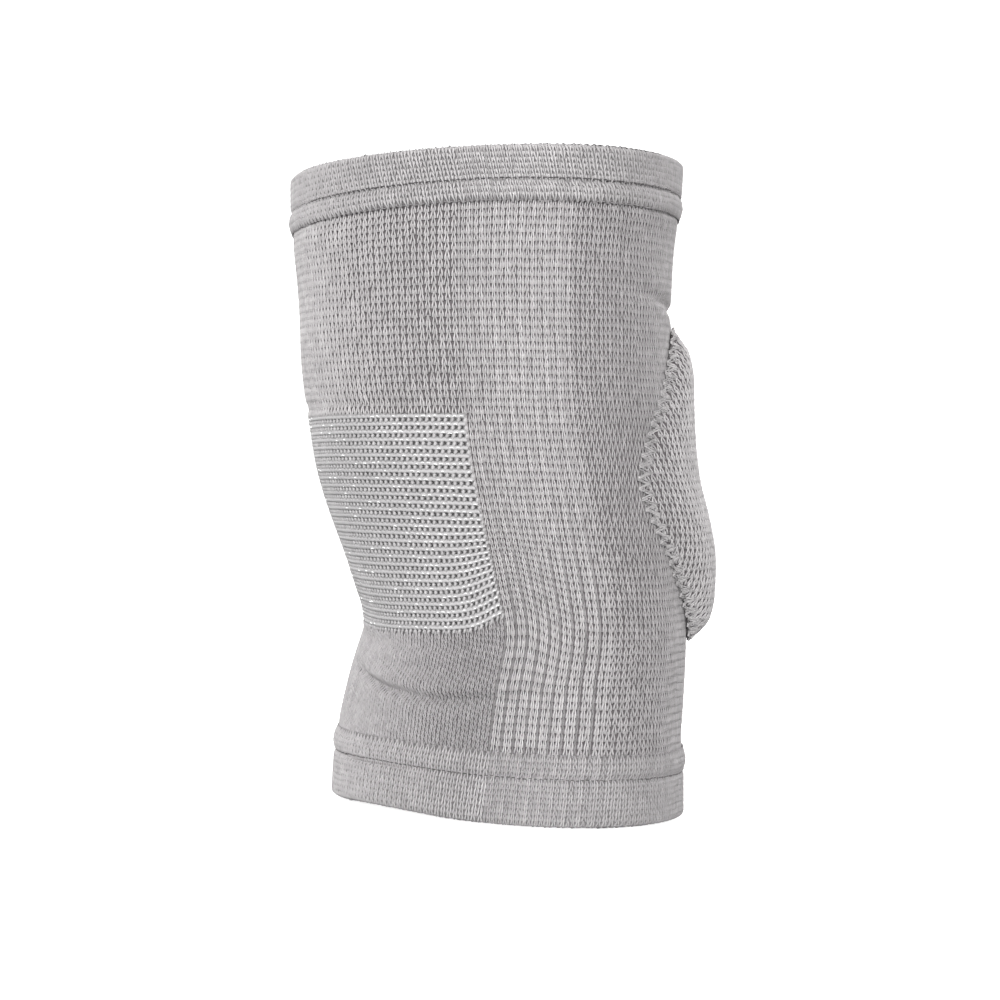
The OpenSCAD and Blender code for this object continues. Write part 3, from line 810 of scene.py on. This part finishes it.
def pad_grid(share, floor, height, across=41, along=81):
    """A closed pad on two grids that share their edge: (x, y, out) of both, and the faces. The
    lower grid lies at the floor, the upper one at the height given for each u and t."""
    u, t = np.meshgrid(np.linspace(-1, 1, across), np.linspace(-1, 1, along), indexing="ij")
    x, y = share * cap_half_width(t) * u, cap_mid + cap_half * share * t
    upper = np.stack([half_round + x, y, height(u * share, t * share)], -1)
    lower = np.stack([half_round + x, y, np.full(x.shape, floor)], -1)
    edge = (abs(u) == 1) | (abs(t) == 1)
    lower[edge] = upper[edge]
    number = np.arange(across * along).reshape(across, along)
    under = np.where(edge, number, 0)
    under[~edge] = across * along + np.arange((~edge).sum())
    top = np.stack([number[:-1, :-1], number[1:, :-1], number[1:, 1:], number[:-1, 1:]], -1)
    bottom = np.stack([under[:-1, :-1], under[:-1, 1:], under[1:, 1:], under[1:, :-1]], -1)
    cloth = np.concatenate([upper.reshape(-1, 3), lower[~edge]])
    return cloth, np.concatenate([top.reshape(-1, 4), bottom.reshape(-1, 4)]), edge


def blow_up(piece, sewn, force, most):
    """Fill a closed cover with a little air: cloth with pressure and no gravity for 20 steps,
    held at its sewn edge and its back, and no point moved by more than so many mm."""
    start = np.empty(len(piece.data.vertices) * 3)
    piece.data.vertices.foreach_get("co", start)
    start = start.reshape(-1, 3)
    piece.vertex_groups.new(name="sewn").add([int(k) for k in sewn], 1.0, "REPLACE")
    air = piece.modifiers.new("air", "CLOTH")
    air.settings.quality = 6
    air.settings.mass = 0.2
    air.settings.tension_stiffness = 20
    air.settings.compression_stiffness = 20
    air.settings.bending_stiffness = 2
    air.settings.use_pressure = True
    air.settings.uniform_pressure_force = force
    air.settings.effector_weights.gravity = 0
    air.settings.vertex_group_mass = "sewn"
    air.point_cache.frame_start, air.point_cache.frame_end = 1, 20
    for step in range(1, 21):
        bpy.context.scene.frame_set(step)
    solved = piece.evaluated_get(bpy.context.evaluated_depsgraph_get())
    end = np.empty(len(start) * 3)
    solved.data.vertices.foreach_get("co", end)
    move = end.reshape(-1, 3) - start
    length = np.linalg.norm(move, axis=1, keepdims=True) * 1000
    move *= np.minimum(length, most) / np.maximum(length, 1e-9)
    piece.modifiers.remove(air)
    piece.vertex_groups.clear()
    bpy.context.scene.frame_set(1)
    piece.data.vertices.foreach_set("co", (start + move).ravel())
    piece.data.update()
    return start + move


start_share = 0.9
across, along = 41, 81


def cover_height(u, t):
    """The cover before the air goes in: its edge, plus a share of its rise over that edge."""
    return cap_edge + (cap_rise(u, t) - cap_edge) * start_share


cloth, faces, edge = pad_grid(1.0, 0.25, cover_height, across, along)
cap_points = on_sleeve(cloth)
cap_pad = make_piece("cap_pad", cap_points, [faces], [cap_ground_painted_shade], tone=np.ones(len(cloth)))
held = np.concatenate([np.nonzero(edge.ravel())[0], np.arange(across * along, len(cloth))])
cap_points = blow_up(cap_pad, held, 4.0, 6.0)
cap_surface = cap_points[:across * along].reshape(across, along, 3)
smooth_cover = cap_pad.modifiers.new("smooth_cover", "SUBSURF")
smooth_cover.levels = smooth_cover.render_levels = 1


def on_cap(cloth):
    """A point of flat cloth (mm from the elbow line, mm up, mm out) put on the cap's cover, or on
    the sleeve beyond its edge: a cubic through the cover's grid, pushed out along its normal."""
    x, y, out = np.moveaxis(np.asarray(cloth, float), -1, 0)
    t = np.clip((y - cap_mid) / cap_half, -1, 1)
    u = x / cap_half_width(t)
    places = []
    for share, size in ((np.clip(u, -1, 1), across), (t, along)):
        spot = (share + 1) / 2 * (size - 1)
        base = np.clip(spot.astype(int), 1, size - 3)
        f = spot - base
        weights = np.stack([-f * (f - 1) * (f - 2) / 6, (f + 1) * (f - 1) * (f - 2) / 2,
                            -(f + 1) * f * (f - 2) / 2, (f + 1) * f * (f - 1) / 6], -1)
        slope = np.stack([-(3 * f * f - 6 * f + 2) / 6, (3 * f * f - 4 * f - 1) / 2,
                          -(3 * f * f - 2 * f - 2) / 2, (3 * f * f - 1) / 6], -1)
        places.append((base, weights, slope))
    (i, wi, si), (j, wj, sj) = places
    reach = np.arange(-1, 3)
    near = cap_surface[i[..., None, None] + reach[:, None], j[..., None, None] + reach]
    point = np.einsum("...a,...b,...abc->...c", wi, wj, near)
    along_u = np.einsum("...a,...b,...abc->...c", si, wj, near)
    along_t = np.einsum("...a,...b,...abc->...c", wi, sj, near)
    normal = np.cross(along_u, along_t)
    normal /= np.maximum(np.linalg.norm(normal, axis=-1, keepdims=True), 1e-12)
    covered = point + normal * out[..., None] / 1000
    bare = on_sleeve(np.stack([half_round + x, y, out + cap_edge], -1))
    return np.where((abs(u) < 1)[..., None], covered, bare)


cap_wale, cap_course = 1.95, 2.12
fan = 0.0078
cap_margin = 0.4
wale_count = int(2 * cap_half_width(0) / cap_wale)
row_count = int(2 * cap_half / cap_course)
middle = (np.arange(wale_count) - (wale_count - 1) / 2) * cap_wale
level = cap_low + (np.arange(row_count) + 0.5) * cap_course
x, y = np.meshgrid(middle, level, indexing="ij")
inside = abs(x * (1 + fan * (y - cap_mid))) < cap_half_width((y - cap_mid) / cap_half) - cap_margin
x, y = x[inside], y[inside]
field = [x, y, np.full(len(x), cap_wale), cap_course, np.full(len(x), COVER)]
paths, wide, tall, tone = stitch_legs(field, lift=0.18)
paths[..., 0] *= 1 + fan * (paths[..., 1] - cap_mid)
bend_with_elbow(knit_piece("cap_cover_knit", [(paths, wide, tall * 0.9, tone, 0)], [cap_yarn], put=on_cap),
                "cap_knit")
bend_with_elbow(cap_pad, "cap_knit", "cap_cover")
under_cover = 1.3
for name, node, share, floor, high, material, slot in (
        ("cap_foam", "cap_foam_core", 0.86, 1.5, 0.80, firm_foam, "foam"),
        ("cap_soft_foam", "cap_comfort_foam", 0.84, 0.9, 0.12, soft_foam, "comfort_foam"),
        ("cap_back", "cap_lining", 0.92, 0.3, 0.04, cap_lining_cloth, "lining")):
    cloth, faces, _ = pad_grid(
        share, floor,
        lambda u, t: np.clip(cap_rise(u, t) * high, floor, cap_rise(u, t) - under_cover), 25, 49)
    layer = make_piece(name, on_sleeve(cloth), [faces], [material], tone=np.ones(len(cloth)))
    bend_with_elbow(layer, slot, node)

# The cap's seam: a zigzag of soft light thread all round its outline, half on the cap and half
# on the sleeve, with the thread's loose fibres standing off it.
seam_thread = cloth_material("seam_thread", (0.40, 0.388, 0.39), 0.85, 0.06, 0.25, 0.08)
zigzags = 30
swing = 2.5
sides = []
for side in (-1, 1):
    t = np.linspace(-0.995, 0.995, zigzags * 2 + 1)
    corner = np.empty((len(t), 2))
    corner[:, 0] = side * (cap_half_width(t) - 0.2 + swing * np.where(np.arange(len(t)) % 2, 1, -0.9))
    corner[:, 1] = cap_mid + cap_half * t + rng.normal(0, 0.12, len(t))
    for strand in (-1, 0, 1):
        share = np.linspace(0, 1, 6)[None, :, None]
        path = np.empty((len(t) - 1, 6, 3))
        path[..., :2] = corner[:-1, None] * (1 - share) + corner[1:, None] * share
        path[..., 1] += 0.36 * strand + rng.normal(0, 0.12, (len(t) - 1, 1))
        path[..., 2] = 0.40 + np.array([-0.25, 0.05, 0.14, 0.14, 0.05, -0.25]) + 0.05 * strand
        sides.append(path)
legs = np.concatenate(sides)
hairs = 2200
seed = legs[rng.integers(0, len(legs), hairs), rng.integers(1, 5, hairs)]
drift = np.column_stack([rng.normal(0, 0.9, hairs), rng.normal(0, 0.7, hairs), rng.uniform(0, 0.3, hairs)])
fibres = seed[:, None] + drift[:, None] * np.linspace(0, 1, 4)[:, None]
fibres[:, 1:3] += rng.normal(0, 0.14, (hairs, 2, 3))
seam = knit_piece("cap_seam", [
    (legs, np.full(legs.shape[:2], 0.42), np.full(legs.shape[:2], 0.4), rng.normal(1, 0.06, len(legs)), 0),
    (fibres, np.full((hairs, 4), 0.13), np.full((hairs, 4), 0.11), rng.normal(1.08, 0.1, hairs), 0)],
    [seam_thread], put=on_cap)
bend_with_elbow(seam, "thread", "cap_zigzag_seam")
